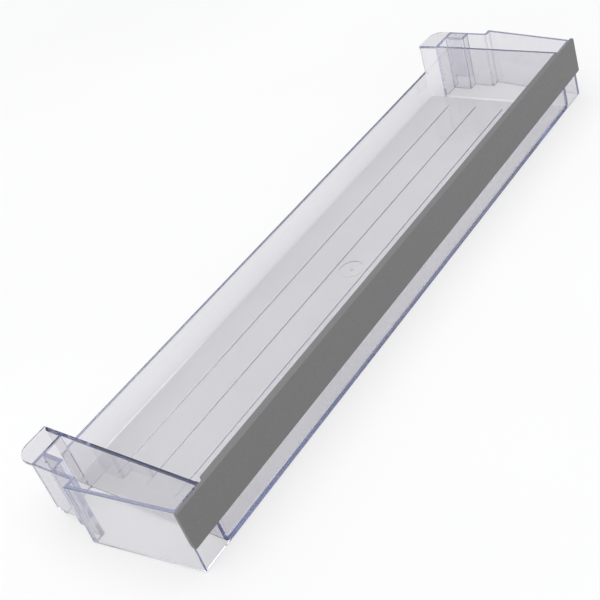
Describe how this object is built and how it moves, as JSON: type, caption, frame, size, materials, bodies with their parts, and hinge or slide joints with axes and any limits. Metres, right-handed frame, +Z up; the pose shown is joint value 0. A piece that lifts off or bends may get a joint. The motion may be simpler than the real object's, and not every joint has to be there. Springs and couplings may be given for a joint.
{
  "type": "fridge door shelf",
  "caption": "Long clear plastic refrigerator door shelf with a low back wall, stepped open pockets at both ends and a grey trim strip along the front.",
  "frame": {"origin": "on the underside, below the middle of the whole shelf", "axes": "+X along the shelf's length, +Y from the trim strip to the low back wall on the door side, +Z up"},
  "size_m": [0.4998, 0.1228, 0.0465],
  "materials": {
    "clear_plastic": "clear, polished",
    "grey_trim": "satin"
  },
  "bodies": {
    "root": {"tray": "clear_plastic", "trim_strip": "grey_trim"}
  },
  "joints": []
}
